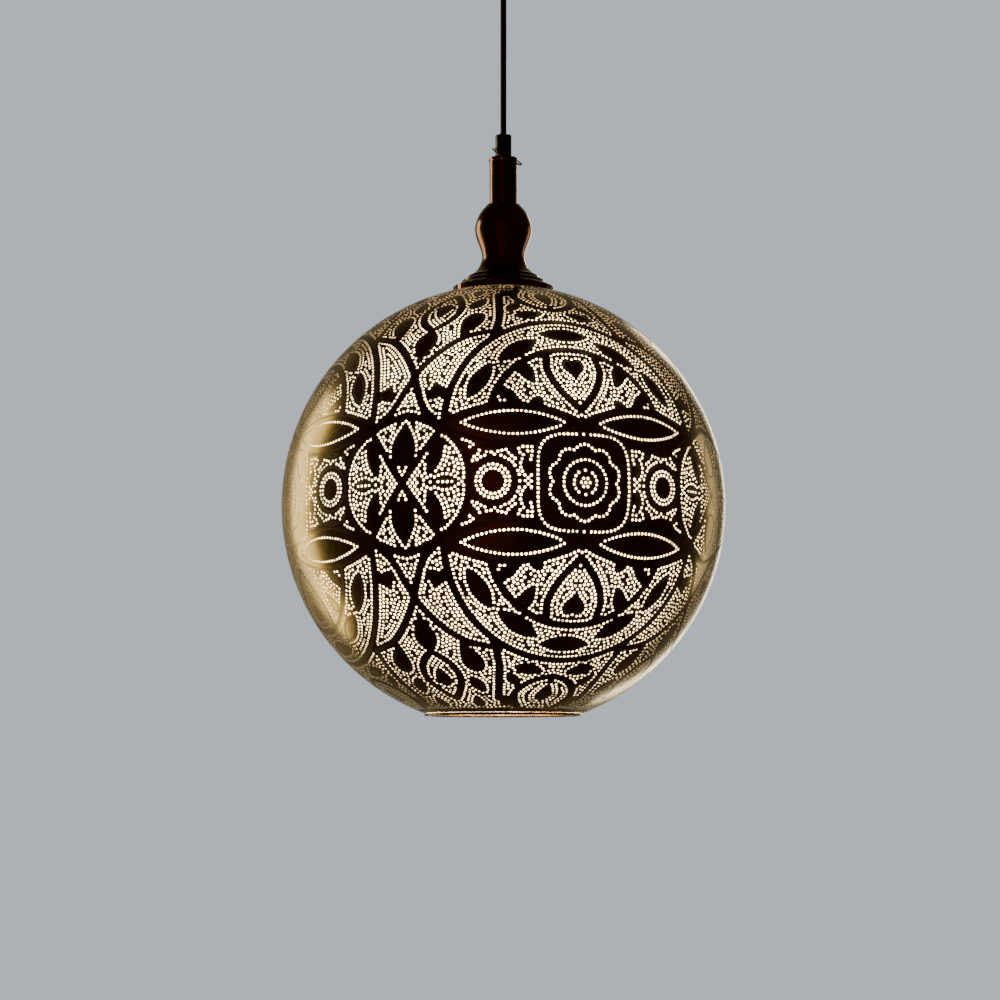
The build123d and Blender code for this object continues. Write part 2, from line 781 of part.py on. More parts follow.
lead_step = block_length / 3
lead_routes = {
    "live_lead": [
        (-wire_spacing, 0, tail_high),
        (-wire_spacing, 0, tail_high + 2.5),
        (-lead_step, 0, block_low - 2.5),
        (-lead_step, 0, block_low),
    ],
    "neutral_lead": [
        (0, wire_spacing, tail_high),
        (0, wire_spacing, tail_high + 3.0),
        (0, 0, block_low - 2.5),
        (0, 0, block_low),
    ],
    "earth_lead": [
        (wire_spacing, -0.6, tail_high),
        (wire_spacing, -0.6, tail_high + 2.5),
        (earth_place - 6.0, -0.6, block_low - 3.0),
        (earth_place, 0, block_low + 2.0),
        (earth_place, 0, -strap_thickness - screw_head_height),
    ],
}
for node, points in lead_routes.items():
    route = bent_wire(points, 1.2)
    with BuildPart() as lead:
        with BuildSketch(Plane(route.line @ 0, z_dir=route.line % 0)):
            Circle(0.7 * wire_radius)
        sweep(path=route.line)
    save(node, lead)
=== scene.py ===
import bpy
import json
import math
import numpy as np
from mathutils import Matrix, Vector
from mathutils.geometry import delaunay_2d_cdt

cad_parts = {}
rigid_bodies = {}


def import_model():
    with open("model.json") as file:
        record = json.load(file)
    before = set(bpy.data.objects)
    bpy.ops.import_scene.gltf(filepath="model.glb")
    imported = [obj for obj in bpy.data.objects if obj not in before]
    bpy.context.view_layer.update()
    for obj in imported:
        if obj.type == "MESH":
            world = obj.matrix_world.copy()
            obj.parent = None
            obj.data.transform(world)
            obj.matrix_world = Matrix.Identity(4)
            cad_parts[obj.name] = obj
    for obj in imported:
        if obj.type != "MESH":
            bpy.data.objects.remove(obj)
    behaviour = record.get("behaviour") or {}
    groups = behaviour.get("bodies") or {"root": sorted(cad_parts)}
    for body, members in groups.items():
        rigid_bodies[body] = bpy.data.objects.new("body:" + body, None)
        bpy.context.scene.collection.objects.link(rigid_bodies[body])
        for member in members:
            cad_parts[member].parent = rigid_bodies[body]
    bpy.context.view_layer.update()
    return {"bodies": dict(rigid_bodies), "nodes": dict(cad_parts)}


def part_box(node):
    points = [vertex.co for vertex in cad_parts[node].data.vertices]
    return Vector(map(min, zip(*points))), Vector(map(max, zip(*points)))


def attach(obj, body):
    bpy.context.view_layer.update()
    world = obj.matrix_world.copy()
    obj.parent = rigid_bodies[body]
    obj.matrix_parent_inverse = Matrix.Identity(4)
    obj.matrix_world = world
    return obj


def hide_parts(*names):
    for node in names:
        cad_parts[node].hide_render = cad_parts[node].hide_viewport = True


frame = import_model()
nodes = frame["nodes"]

GLOBE_Z = -0.535
CENTRE = Vector((0, 0, GLOBE_Z))

# ---------------------------------------------------------------- camera
VIEW_DISTANCE = 2.21
VIEW_RISE = math.radians(6.0)
view_dir = Vector((0, math.cos(VIEW_RISE), math.sin(VIEW_RISE)))
cam_data = bpy.data.cameras.new("camera")
cam_data.sensor_width = 36
cam_data.lens = 87.9
cam_data.shift_x = -0.0034
cam_data.shift_y = 0.0061
cam_data.clip_start = 0.05
camera = bpy.data.objects.new("camera", cam_data)
camera.location = CENTRE - view_dir * VIEW_DISTANCE
camera.rotation_euler = view_dir.to_track_quat("-Z", "Y").to_euler()
bpy.context.scene.collection.objects.link(camera)
bpy.context.scene.camera = camera

# ---------------------------------------------------------------- cord
CORD_R = 0.00285
cord_low, cord_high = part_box("cord")
cord_top = cord_high.z - CORD_R
cord_curve = bpy.data.curves.new("cord_line", "CURVE")
cord_curve.dimensions = "3D"
# Each point's own radius is the cord's, so the curve's box is the cord's too.
cord_curve.bevel_depth = 1.0
cord_curve.bevel_resolution = 6
cord_curve.use_fill_caps = True
spline = cord_curve.splines.new("NURBS")
CORD_POINTS = 9
spline.points.add(CORD_POINTS - 1)
for i, point in enumerate(spline.points):
    t = i / (CORD_POINTS - 1)
    point.co = (0, 0, cord_top + (cord_low.z - cord_top) * t, 1)
    point.radius = CORD_R
spline.order_u = 3
spline.use_endpoint_u = True
cord = bpy.data.objects.new("cord_flex", cord_curve)
bpy.context.scene.collection.objects.link(cord)
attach(cord, "cord")
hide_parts("cord")


# ---------------------------------------------------------------- materials
def material(name):
    mat = bpy.data.materials.new(name)
    mat.use_nodes = True
    tree = mat.node_tree
    return mat, tree, tree.nodes["Principled BSDF"]


def noise(tree, scale, detail=3.0):
    where = tree.nodes.new("ShaderNodeTexCoord")
    n = tree.nodes.new("ShaderNodeTexNoise")
    n.inputs["Scale"].default_value = scale
    n.inputs["Detail"].default_value = detail
    tree.links.new(where.outputs["Object"], n.inputs["Vector"])
    return n.outputs["Fac"]


def ramp(tree, source, low, high, start=0.35, end=0.65):
    """A colour or grey that runs from low to high over that span of the source."""
    r = tree.nodes.new("ShaderNodeValToRGB")
    r.color_ramp.elements[0].position = start
    r.color_ramp.elements[1].position = end
    for e, c in zip(r.color_ramp.elements, (low, high)):
        e.color = (*c, 1) if hasattr(c, "__len__") else (c, c, c, 1)
    tree.links.new(source, r.inputs["Fac"])
    return r.outputs["Color"]


def glow(shader, colour, strength):
    shader.inputs["Emission Color"].default_value = (*colour, 1)
    shader.inputs["Emission Strength"].default_value = strength


def tint(tree, shader, scale, dark, light):
    """Lets the colour drift from dark to light over the surface."""
    tree.links.new(ramp(tree, noise(tree, scale), dark, light), shader.inputs["Base Color"])


def bump(tree, shader, source, strength, distance):
    b = tree.nodes.new("ShaderNodeBump")
    b.inputs["Strength"].default_value = strength
    b.inputs["Distance"].default_value = distance
    tree.links.new(source, b.inputs["Height"])
    tree.links.new(b.outputs["Normal"], shader.inputs["Normal"])


BUMP_HEIGHT = 0.0004  # metres


def finish_of(name, dark, light, metallic, rough, scale, relief=0.0):
    """A worn finish: colour and roughness both drift over the surface."""
    mat, tree, shader = material(name)
    cloud = noise(tree, scale, 4.0)
    tree.links.new(ramp(tree, cloud, dark, light), shader.inputs["Base Color"])
    fine = noise(tree, scale * 9, 2.0)
    tree.links.new(ramp(tree, fine, rough[0], rough[1]), shader.inputs["Roughness"])
    shader.inputs["Metallic"].default_value = metallic
    if relief:
        bump(tree, shader, fine, relief, BUMP_HEIGHT)
    return mat


globe_skin = finish_of(
    "antique_brass", (0.20, 0.140, 0.035), (0.33, 0.240, 0.070), 1.0, (0.20, 0.23), 22, relief=0.01
)
# The inside skin's emission is a painted glow. It stands in for the bulb's light falling on the inside wall.
inner_skin_painted_glow, tree, shader = material("brass_inside_painted_glow")
tint(tree, shader, 30, (0.80, 0.62, 0.34), (0.92, 0.78, 0.50))
shader.inputs["Metallic"].default_value = 0.15
shader.inputs["Roughness"].default_value = 0.55
glow(shader, (1.0, 0.90, 0.74), 3.6)
# The hole walls' faint emission is a painted glow. It stands in for the bulb's light on them.
hole_wall_painted_glow, tree, shader = material("hole_edge_painted_glow")
tint(tree, shader, 60, (0.55, 0.40, 0.17), (0.75, 0.58, 0.28))
shader.inputs["Metallic"].default_value = 0.4
shader.inputs["Roughness"].default_value = 0.5
glow(shader, (1.0, 0.76, 0.40), 0.25)
engraving = finish_of("engraving", (0.070, 0.042, 0.018), (0.11, 0.070, 0.030), 0.85, (0.42, 0.55), 60)
dark_bronze = finish_of(
    "dark_bronze", (0.13, 0.058, 0.028), (0.21, 0.10, 0.048), 1.0, (0.15, 0.24), 40, relief=0.04
)
rim_brass = finish_of("rim_brass", (0.030, 0.019, 0.009), (0.07, 0.045, 0.020), 1.0, (0.20, 0.34), 30)
bright_brass = finish_of("bare_brass", (0.60, 0.44, 0.20), (0.78, 0.60, 0.32), 1.0, (0.22, 0.36), 60)
nickel = finish_of("nickel", (0.50, 0.49, 0.46), (0.64, 0.62, 0.58), 1.0, (0.20, 0.34), 60)
zinc_steel = finish_of("zinc_steel", (0.42, 0.43, 0.45), (0.56, 0.57, 0.58), 1.0, (0.28, 0.44), 50)
wire_steel = finish_of("wire_steel", (0.045, 0.032, 0.022), (0.12, 0.09, 0.06), 1.0, (0.18, 0.30), 90)
black_plastic = finish_of(
    "black_plastic", (0.010, 0.010, 0.010), (0.020, 0.019, 0.018), 0.0, (0.30, 0.42), 50
)
black_flex = finish_of(
    "black_flex", (0.008, 0.008, 0.008), (0.016, 0.015, 0.014), 0.0, (0.42, 0.55), 60
)
porcelain = finish_of("porcelain", (0.78, 0.76, 0.71), (0.86, 0.84, 0.79), 0.0, (0.18, 0.28), 30)
white_plastic = finish_of(
    "white_plastic", (0.72, 0.72, 0.70), (0.80, 0.80, 0.78), 0.0, (0.35, 0.45), 40
)
wire_brown = finish_of("wire_brown", (0.16, 0.060, 0.022), (0.22, 0.090, 0.035), 0.0, (0.35, 0.50), 60)
wire_blue = finish_of("wire_blue", (0.020, 0.090, 0.36), (0.035, 0.14, 0.48), 0.0, (0.35, 0.50), 60)
wire_green = finish_of("wire_green", (0.10, 0.36, 0.05), (0.16, 0.46, 0.08), 0.0, (0.35, 0.50), 60)
black_glass = finish_of(
    "black_glass", (0.010, 0.010, 0.012), (0.022, 0.022, 0.026), 0.0, (0.06, 0.14), 40
)
tungsten, tree, shader = material("tungsten_hot")
tint(tree, shader, 200, (0.85, 0.55, 0.25), (0.95, 0.75, 0.45))
glow(shader, (1.0, 0.62, 0.26), 220)
clear_glass, tree, shader = material("clear_glass")
tint(tree, shader, 12, (0.97, 0.97, 0.96), (1.0, 1.0, 0.99))
shader.inputs["Roughness"].default_value = 0.0
shader.inputs["IOR"].default_value = 1.46
shader.inputs["Transmission Weight"].default_value = 1.0

FINISHES = {
    "dark_bronze": (dark_bronze, ["neck_tube", "neck_baluster", "shoulder_flange", "canopy"]),
    "antique_brass": (rim_brass, ["bottom_rim"]),
    "black_plastic": (black_plastic, ["grip_collar", "gland_body", "gland_cap", "gland_nut", "swing_bush"]),
    "black_flex": (black_flex, ["cord_tail"]),
    "wire_steel": (wire_steel, ["neck_ring"]),
    "zinc_steel": (
        zinc_steel,
        ["ceiling_bracket", "canopy_screws", "earth_screw", "threaded_rod", "clamp_plate", "clamp_nut",
         "holder_nut", "terminal_screws", "cord_ferrule"],
    ),
    "bare_brass": (bright_brass, ["screw_shell", "centre_contact", "holder_terminals"]),
    "nickel": (nickel, ["bulb_cap", "bulb_contact", "support_wires"]),
    "ceramic_white": (porcelain, ["holder_insert", "holder_cap", "holder_skirt"]),
    "white_plastic": (white_plastic, ["terminal_block"]),
    "wire_brown": (wire_brown, ["live_lead", "live_wire"]),
    "wire_blue": (wire_blue, ["neutral_lead", "neutral_wire"]),
    "wire_green": (wire_green, ["earth_lead", "earth_wire"]),
    "black_glass": (black_glass, ["bulb_insulator"]),
    "clear_glass": (clear_glass, ["bulb_glass", "bulb_stem"]),
    "tungsten": (tungsten, ["filament"]),
}
for mat, members in FINISHES.values():
    for name in members:
        nodes[name].data.materials.clear()
        nodes[name].data.materials.append(mat)
        for f in nodes[name].data.polygons:
            f.material_index = 0
nodes["bulb_glass"].visible_shadow = False
nodes["bulb_stem"].visible_shadow = False
cord.data.materials.append(black_flex)


# ---------------------------------------------------------------- the piercing, in millimetres on the sphere
RADIUS = 200                       # of the globe, in mm
MM = RADIUS * math.pi / 180        # millimetres of arc in a degree
HOLE_R = 1.12
PITCH = 3.75                       # between holes along a row
ROW = 3.35                         # between rows
FIRST_ROW = 2.0                    # from a solid's edge to the first row
BAND = 2.5                         # half the width of a solid band
ROSETTE = 45.0                     # the rosette's axis, in degrees from the flower's
LAT_TOP = 76.0                     # the pattern's highest latitude
ON_AXIS = 0.28                     # mm within which a place counts as on a mirror line


def on_sphere(lon, lat):
    lon, lat = np.radians(lon), np.radians(lat)
    return np.stack([np.cos(lat) * np.sin(lon), -np.cos(lat) * np.cos(lon), np.sin(lat)], -1)


def mirrored(lon, lat):
    """The same place seen from each repeat beside it: over the two axes and the equator."""
    across = 2 * ROSETTE - lon
    return [(lon, lat), (-lon, lat), (across, lat), (lon, -lat), (-lon, -lat), (across, -lat)]


def gap_to_circle(p, centre, radius):
    c = on_sphere(*centre)
    return np.degrees(np.arccos(np.clip(p @ c, -1, 1))) * MM - radius * MM


def gap_to_line(p, points):
    """Distance in mm to a line through these (lon, lat) points."""
    v = on_sphere(np.array([a for a, _ in points], float), np.array([b for _, b in points], float)) * RADIUS
    q = p * RADIUS
    best = np.full(len(q), 1e9)
    for a, b in zip(v[:-1], v[1:]):
        d = b - a
        t = np.clip((q - a) @ d / (d @ d), 0, 1)
        best = np.minimum(best, np.linalg.norm(q - a - t[:, None] * d, axis=1))
    return best


def smooth(points, steps=6):
    """A rounded line through these points (Catmull-Rom)."""
    pts = [points[0]] + list(points) + [points[-1]]
    out = []
    for i in range(1, len(pts) - 2):
        p0, p1, p2, p3 = (np.array(pts[i + k], float) for k in (-1, 0, 1, 2))
        for s in range(steps):
            t = s / steps
            square = (2 * p0 - 5 * p1 + 4 * p2 - p3) * t ** 2
            cube = (3 * p1 - p0 - 3 * p2 + p3) * t ** 3
            out.append(tuple(0.5 * (2 * p1 + (p2 - p0) * t + square + cube)))
    out.append(tuple(points[-1]))
    return out


def local(lon, lat, centre, turn):
    """Millimetres right and up of a centre, turned clockwise by turn degrees."""
    x = (lon - centre[0]) * np.cos(np.radians((lat + centre[1]) / 2)) * MM
    y = (lat - centre[1]) * MM
    t = math.radians(turn)
    return x * math.cos(t) - y * math.sin(t), x * math.sin(t) + y * math.cos(t)


def place(shape, centre, turn):
    """A local outline in mm as (lon, lat) points."""
    t = math.radians(turn)
    out = []
    for x, y in shape:
        u, v = x * math.cos(t) + y * math.sin(t), -x * math.sin(t) + y * math.cos(t)
        lat = centre[1] + v / MM
        out.append((centre[0] + u / MM / math.cos(math.radians((lat + centre[1]) / 2)), lat))
    return out


def almond(length, width, n=12):
    """Pointed at both ends."""
    up = [(length * (i / n - 0.5), width / 2 * math.sin(math.pi * i / n) ** 0.8) for i in range(n + 1)]
    return up + [(x, -y) for x, y in reversed(up[1:-1])]


def drop(length, width, n=16):
    """Round end up, point down, centred on its box."""
    out = []
    for i in range(2 * n):
        a = math.pi * i / n
        x = width / 2 * math.sin(a) * math.sin(a / 2) * 1.3
        out.append((x, -length / 2 * math.cos(a)))
    return out


def heart(width, height, n=16):
    out = []
    for i in range(2 * n):
        a = math.pi * i / n
        rise = 13 * math.cos(a) - 5 * math.cos(2 * a) - 2 * math.cos(3 * a) - math.cos(4 * a)
        out.append((width / 2 * math.sin(a) ** 3, height * rise / 29 + height * 0.09))
    return out


def disc(radius, n=32, lobes=0, depth=0.0, square=0.0):
    """A circle, or a lobed or squared one."""
    out = []
    for i in range(n):
        a = 2 * math.pi * i / n
        r = radius + depth * abs(math.sin(lobes * a / 2)) - depth / 2 if lobes else radius
        if square:
            r = radius * (abs(math.cos(a)) ** square + abs(math.sin(a)) ** square) ** (-1 / square)
        out.append((r * math.cos(a), r * math.sin(a)))
    return out


def gap_to_shape(x, y, shape):
    """Signed distance to a closed outline, both in the same local millimetres."""
    best = np.full(len(x), 1e9)
    inside = np.zeros(len(x), bool)
    pts = list(shape)
    for (ax, ay), (bx, by) in zip(pts, pts[1:] + pts[:1]):
        dx, dy = bx - ax, by - ay
        t = np.clip(((x - ax) * dx + (y - ay) * dy) / (dx * dx + dy * dy + 1e-12), 0, 1)
        best = np.minimum(best, np.hypot(x - ax - t * dx, y - ay - t * dy))
        if dy:
            inside ^= ((ay > y) != (by > y)) & (x < dx * (y - ay) / dy + ax)
    return np.where(inside, -best, best)

# ---- the design, degrees from the flower's axis and above the equator ----
NODE = (9.8, 13.3)
HUB = (45.0, 12.5)
RINGS = [(23.3, 15.5), (34.0, 13.0)]        # ring radius, lowest latitude
LINES = [
    [(0, 0), NODE],
    smooth([NODE, (4.5, 15.6), (0, 16.9)]),
    smooth([(17.0, 0), (16.2, 5.5), (13.6, 10), NODE]),
    smooth([NODE, (4.6, 18.2), (1.4, 24.5), (-1.6, 30.5), (-7.5, 36.8), (-14.0, 40.6), (-22.5, 42.5)]),
    smooth([(22.5, 42.5), (23.6, 48), (23.2, 54), (22.5, 62)]),
    smooth([NODE, (20, 10.2), (32, 9.6), (45, 10.6)]),
    smooth([(0, 43.5), (5.5, 47.5), (7.5, 53), (4, 58.5), (0, 61.5)]),
    smooth([(45, 52), (36, 54.5), (30, 60), (33, 66)]),
    [(0, 67.5), (22, 67.5), (45, 67.5)],
    smooth([(45, 18.0), (40.0, 23.5), (37.2, 29.0), (37.6, 34.5)]),
]
# outline, centre, turn: solid shapes that the holes go round
SHAPES = [
    (almond(128, 37), (27.2, 14.4), 0),                 # lens over the medallion, its leaf inside
    (drop(37, 21), (0, 9.6), 180),
    (almond(33, 11), (8.4, 6.2), -70),
    (almond(22, 9.5), (11.0, 0), 0),
    (disc(20.5), (22.5, 0), 0),
    (disc(44.5, square=5), (45, 0), 0),
    (heart(19, 21), (45, 29.6), 0),
    (almond(44, 15), (45, 41.2), 0),
    (almond(42, 15), (29.3, 35.6), -37),
    (almond(40, 14), (18.6, 26.0), -62),
    (heart(15, 16), (7.2, 23.6), 165),
    (drop(34, 19), (0, 37.6), 0),
    (drop(22, 12), (31.6, 28.0), -28),
    (drop(19, 9), (26.6, 21.6), -60),
    (drop(15, 8), (33.0, 19.6), 60),
    (drop(34, 17), (13.5, 45.6), 20),
    (drop(24, 12), (0, 52.3), 0),
    (almond(26, 12), (34.5, 49.6), -14),
    (drop(24, 13), (45, 59), 0),
    (almond(24, 11), (14, 55.5), -70),
    (almond(20, 9), (29, 53.5), -60),
    (drop(18, 9), (11.5, 63.0), 0),
    (drop(18, 9), (26.5, 63.0), 0),
    (almond(16, 7), (36, 71.5), 90),
    (almond(16, 7), (18, 71.5), 90),
    (almond(16, 7), (0, 71.5), 90),
    (almond(24, 6), (22.5, 8.4), 0),
    (almond(13, 5), (17.8, 7.3), -50),
    (almond(13, 5), (27.4, 7.3), 50),
    (almond(16, 6.5), (30.6, 3.6), 80),
]
# dotted lines: outline, centre, turn, closed
DOTTED = [
    (almond(88, 21), (27.6, 14.5), 0, True),
    (disc(10.6), (22.5, 0), 0, True), (disc(14.1), (22.5, 0), 0, True),
    (disc(3.9, 12), (45, 0), 0, True), (disc(0.01, 4), (45, 0), 0, True),
    (disc(10.2), (45, 0), 0, True), (disc(19.2), (45, 0), 0, True),
    (disc(30.5, 96, 10, 4.0), (45, 0), 0, True),
    (disc(41.0, 96, square=4.2), (45, 0), 0, True),
    ([(-6, 0), (6, 0)], (11.0, 0), 0, False),
]


def solid_gap(lon, lat):
    """Distance in mm from the nearest solid, below zero inside it."""
    best = np.full(len(lon), 1e9)
    seen = mirrored(lon, lat)
    for k, (a, b) in enumerate(seen):
        p = on_sphere(a, b)
        for radius, low in RINGS:
            d = np.abs(gap_to_circle(p, HUB, radius)) - BAND
            best = np.minimum(best, np.where(b > low, d, 1e9))
        for line in LINES:
            best = np.minimum(best, gap_to_line(p, line) - BAND)
        for shape, centre, turn in SHAPES:
            if centre[1] > 19 and k > 2:
                continue
            x, y = local(a, b, centre, turn)
            reach = max(max(abs(u), abs(v)) for u, v in shape) + 16
            near = (np.abs(x) < reach) & (np.abs(y) < reach)
            if near.any():
                d = gap_to_shape(x[near], y[near], shape)
                best[near] = np.minimum(best[near], d)
    return best


def dotted_dots():
    """Dots along the drawn dotted lines, evenly spaced, as (lon, lat)."""
    out = []
    for shape, centre, turn, closed in DOTTED:
        pts = np.array(shape + shape[:1] if closed else shape, float)
        step = np.linalg.norm(np.diff(pts, axis=0), axis=1)
        total = step.sum()
        n = max(1, round(total / PITCH))
        at = np.arange(n) * total / n if closed else np.linspace(0, total, n + 1)
        s = np.concatenate([[0], np.cumsum(step)])
        x, y = np.interp(at, s, pts[:, 0]), np.interp(at, s, pts[:, 1])
        out += place(list(zip(x, y)), centre, turn)
    return out


def off_the_line(value, line, mm):
    """A hole near a line that the pattern is mirrored in goes onto it, or half a pitch away from it."""
    aside = (value - line) * mm
    if aside < PITCH * 0.27:
        return line
    return line + max(aside, PITCH * 0.5) / mm


def sector_dots():
    """Hole centres (lon, lat) in one eighth of the upper half: flower's axis to rosette's axis."""
    step = 0.42
    lats = np.arange(0, LAT_TOP * MM, step) / MM
    lon, lat = [], []
    for b in lats:
        w = step / (MM * math.cos(math.radians(b)))
        row = np.arange(0, ROSETTE + 1e-6, w)
        lon.append(row)
        lat.append(np.full(len(row), b))
    lon, lat = np.concatenate(lon), np.concatenate(lat)
    gap = solid_gap(lon, lat)
    pos = on_sphere(lon, lat) * RADIUS
    # distance to the lines that the pattern is mirrored in
    to_edge = np.stack([lon * np.cos(np.radians(lat)), (ROSETTE - lon) * np.cos(np.radians(lat)), lat]) * MM
    dots = []
    alive = gap > FIRST_ROW - 0.35

    def kill(p):
        apart = (pos[:, 0] - p[0]) ** 2 + (pos[:, 1] - p[1]) ** 2 + (pos[:, 2] - p[2]) ** 2
        alive[apart < (PITCH - 0.25) ** 2] = False

    for a, b in dotted_dots():
        if -0.3 <= a <= ROSETTE + 0.3 and -0.3 <= b < LAT_TOP:
            wide = MM * math.cos(math.radians(b))
            a = off_the_line(a, 0.0, wide)
            a = ROSETTE - off_the_line(ROSETTE - a, 0.0, wide)
            b = off_the_line(b, 0.0, MM)
            p = on_sphere(a, b) * RADIUS
            if all(np.linalg.norm(p - q) > PITCH * 0.82 for _, _, q in dots):
                dots.append((a, b, p))
                kill(p)
    half = PITCH / 2
    on_axis = (to_edge < ON_AXIS).any(0)
    clear = on_axis | (to_edge > half).all(0)
    k = 0
    while alive.any() and k < 14:
        target = FIRST_ROW + k * ROW
        band = alive & clear & (np.abs(gap - target) < 0.30)
        idx = np.flatnonzero(band)
        here = None
        while True:
            idx = idx[alive[idx]]
            if not len(idx):
                break
            if here is None:
                order = np.lexsort((lat[idx], ~on_axis[idx]))
                i = idx[order[0]]
            else:
                i = idx[np.argmin(((pos[idx] - here) ** 2).sum(1))]
                if np.linalg.norm(pos[i] - here) > 2 * PITCH and on_axis[idx].any():
                    sub = idx[on_axis[idx]]
                    i = sub[np.argmin(((pos[sub] - here) ** 2).sum(1))]
            a, b = lon[i], lat[i]
            if to_edge[0, i] < ON_AXIS:
                a = 0.0
            if to_edge[1, i] < ON_AXIS:
                a = ROSETTE
            if to_edge[2, i] < ON_AXIS:
                b = 0.0
            here = on_sphere(a, b) * RADIUS
            dots.append((a, b, here))
            kill(here)
        k += 1
    # leftover gaps between rows
    idx = np.flatnonzero(alive & clear & (gap > FIRST_ROW - 0.2))
    while len(idx):
        i = idx[np.argmin(gap[idx])]
        here = pos[i]
        dots.append((lon[i], lat[i], here))
        kill(here)
        idx = idx[alive[idx]]
    return np.array([(a, b) for a, b, _ in dots])


# ---------------------------------------------------------------- the pierced globe
OUTER, INNER = 0.200, 0.1992
HOLE_SIDES = 8
SEAM_STEP = 1.1                    # degrees between points along a seam
FLOWER_TURN = -25.0                # where the flower's axis stands, degrees right of the front
TOP_EDGE = math.degrees(math.acos(14.0 / RADIUS))        # the hole under the flange, 28 mm across
MOUTH_EDGE = math.degrees(math.asin(186.97 / RADIUS))    # the open mouth, 186.97 mm below the centre
TOP_HOLES, MOUTH_HOLES = 75.4, 66.6      # no holes beyond these latitudes
WEB = 1.6                          # from a hole's centre to the seam that goes round it


def mercator(lon, lat):
    return np.radians(lon), np.log(np.tan(np.pi / 4 + np.radians(lat) / 2))


def seam(dots_on_it, end):
    """A line from 0 to end degrees along a mirror line, going round each hole that is centred on it.
    Points come back as (along, aside), both in degrees."""
    out, here = [], 0.0
    r = WEB / MM
    for at in sorted(dots_on_it):
        for s in np.arange(here, at - r - SEAM_STEP * 0.5, SEAM_STEP):
            out.append((s, 0.0))
        for a in np.linspace(0, math.pi, 7):
            out.append((at - r * math.cos(a), -r * math.sin(a)))
        here = at + r + SEAM_STEP * 0.6
    for s in np.arange(here, end - SEAM_STEP * 0.5, SEAM_STEP):
        out.append((s, 0.0))
    out.append((end, 0.0))
    return out


def quarter(dots, lower, spare):
    """One quarter turn of half the globe. Its points are (lon, lat) in degrees, and what comes back is
    the points, triangles, hole walls, each point's hole, the holes' centres and the edge at the opening."""
    limit = MOUTH_HOLES if lower else TOP_HOLES
    edge = MOUTH_EDGE if lower else TOP_EDGE
    dots = dots[dots[:, 1] < limit]
    whole = np.concatenate([dots, [(2 * ROSETTE - a, b) for a, b in dots if 1e-6 < a < ROSETTE - 1e-6]])
    if lower:
        whole = whole[whole[:, 1] > 1e-6]
    on_meridian = [b for a, b in dots if abs(a) < 1e-6]
    on_equator = [a for a, b in dots if abs(b) < 1e-6]
    on_equator = sorted(on_equator + [2 * ROSETTE - a for a in on_equator if a < ROSETTE - 1e-6])
    side = seam(on_meridian, edge)
    side = [(s / math.cos(math.radians(b)), b) for b, s in side]
    base = [(a, -b if lower else b) for a, b in seam(on_equator, 2 * ROSETTE)]
    top = [(a, edge) for a in np.linspace(0, 90, 46)[1:-1]]
    loop = base + [(a + 90, b) for a, b in side[1:]] + top[::-1] + side[::-1][:-1]
    points = list(loop)
    owner = [-1] * len(loop)
    edges = []
    turn = 2 * math.pi / HOLE_SIDES
    corner_r = HOLE_R * 1.03  # the corners stand a little outside the round hole
    for h, (a, b) in enumerate(whole):
        first = len(points)
        for k in range(HOLE_SIDES):
            x = corner_r * math.cos(turn * (k + 0.5))
            y = corner_r * math.sin(turn * (k + 0.5))
            lat = b + y / MM
            points.append((a + x / MM / math.cos(math.radians(b)), lat))
            owner.append(h)
            edges.append((first + k, first + (k + 1) % HOLE_SIDES))
    for a, b in spare:
        if b < edge - 0.8 and b > 0.8:
            for c in {a, 2 * ROSETTE - a}:
                if 0.8 < c * math.cos(math.radians(b)) and (90 - c) * math.cos(math.radians(b)) > 0.8:
                    points.append((c, b))
                    owner.append(-2)
    lon, lat = np.array(points).T
    X, Y = mercator(lon, lat)
    flat = [Vector(p) for p in zip(X, Y)]
    verts, _, tris, orig, _, _ = delaunay_2d_cdt(flat, edges, [list(range(len(loop)))], 1, 1e-7)
    if len(verts) != len(points):
        raise RuntimeError(f"the piercing's points met: {len(points)} became {len(verts)}")
    first = np.array([o[0] for o in orig])
    tris = first[np.array(tris)]
    own = np.array(owner)
    a, b, c = own[tris].T
    tris = tris[~((a >= 0) & (a == b) & (b == c))]
    walls = np.array(edges)
    rims = [(i, i + 1) for i in range(len(base) + len(side) - 2, len(base) + len(side) - 2 + 45)]
    return np.array(points), tris, walls, own, whole, np.array(rims)


def engraved(level, top):
    """Short pieces of the line that runs this far inside the solids' edges, as pairs of (lon, lat),
    in one eighth. It is traced through the squares of the grid that FIELD is worked out on."""
    lons, lats = GRID_LON, GRID_LAT
    g = FIELD - level
    out = []
    corner = [g[:-1, :-1], g[:-1, 1:], g[1:, 1:], g[1:, :-1]]
    at = [(0, 0), (1, 0), (1, 1), (0, 1)]
    cross, spot = [], []
    for k in range(4):
        p, q = corner[k], corner[(k + 1) % 4]
        hit = (p < 0) != (q < 0)
        t = np.where(hit, p / np.where(hit, p - q, 1), 0)
        (x0, y0), (x1, y1) = at[k], at[(k + 1) % 4]
        cross.append(hit)
        spot.append((x0 + (x1 - x0) * t, y0 + (y1 - y0) * t))
    two = sum(c.astype(int) for c in cross) == 2
    rows, cols = np.nonzero(two)
    for j, i in zip(rows, cols):
        if lats[j + 1] > top:
            continue
        ends = [(spot[k][0][j, i], spot[k][1][j, i]) for k in range(4) if cross[k][j, i]]
        out.append([(lons[i] + x * (lons[1] - lons[0]), lats[j] + y * (lats[1] - lats[0])) for x, y in ends])
    return np.array(out)


LINE_HALF = 0.24                   # half the width of an engraved line, in mm
LINE_PROUD = 0.00002               # metres that its dark filling stands above the skin
LINE_INSETS = (-1.15, -2.05)       # mm from a solid's edge to the two lines inside it


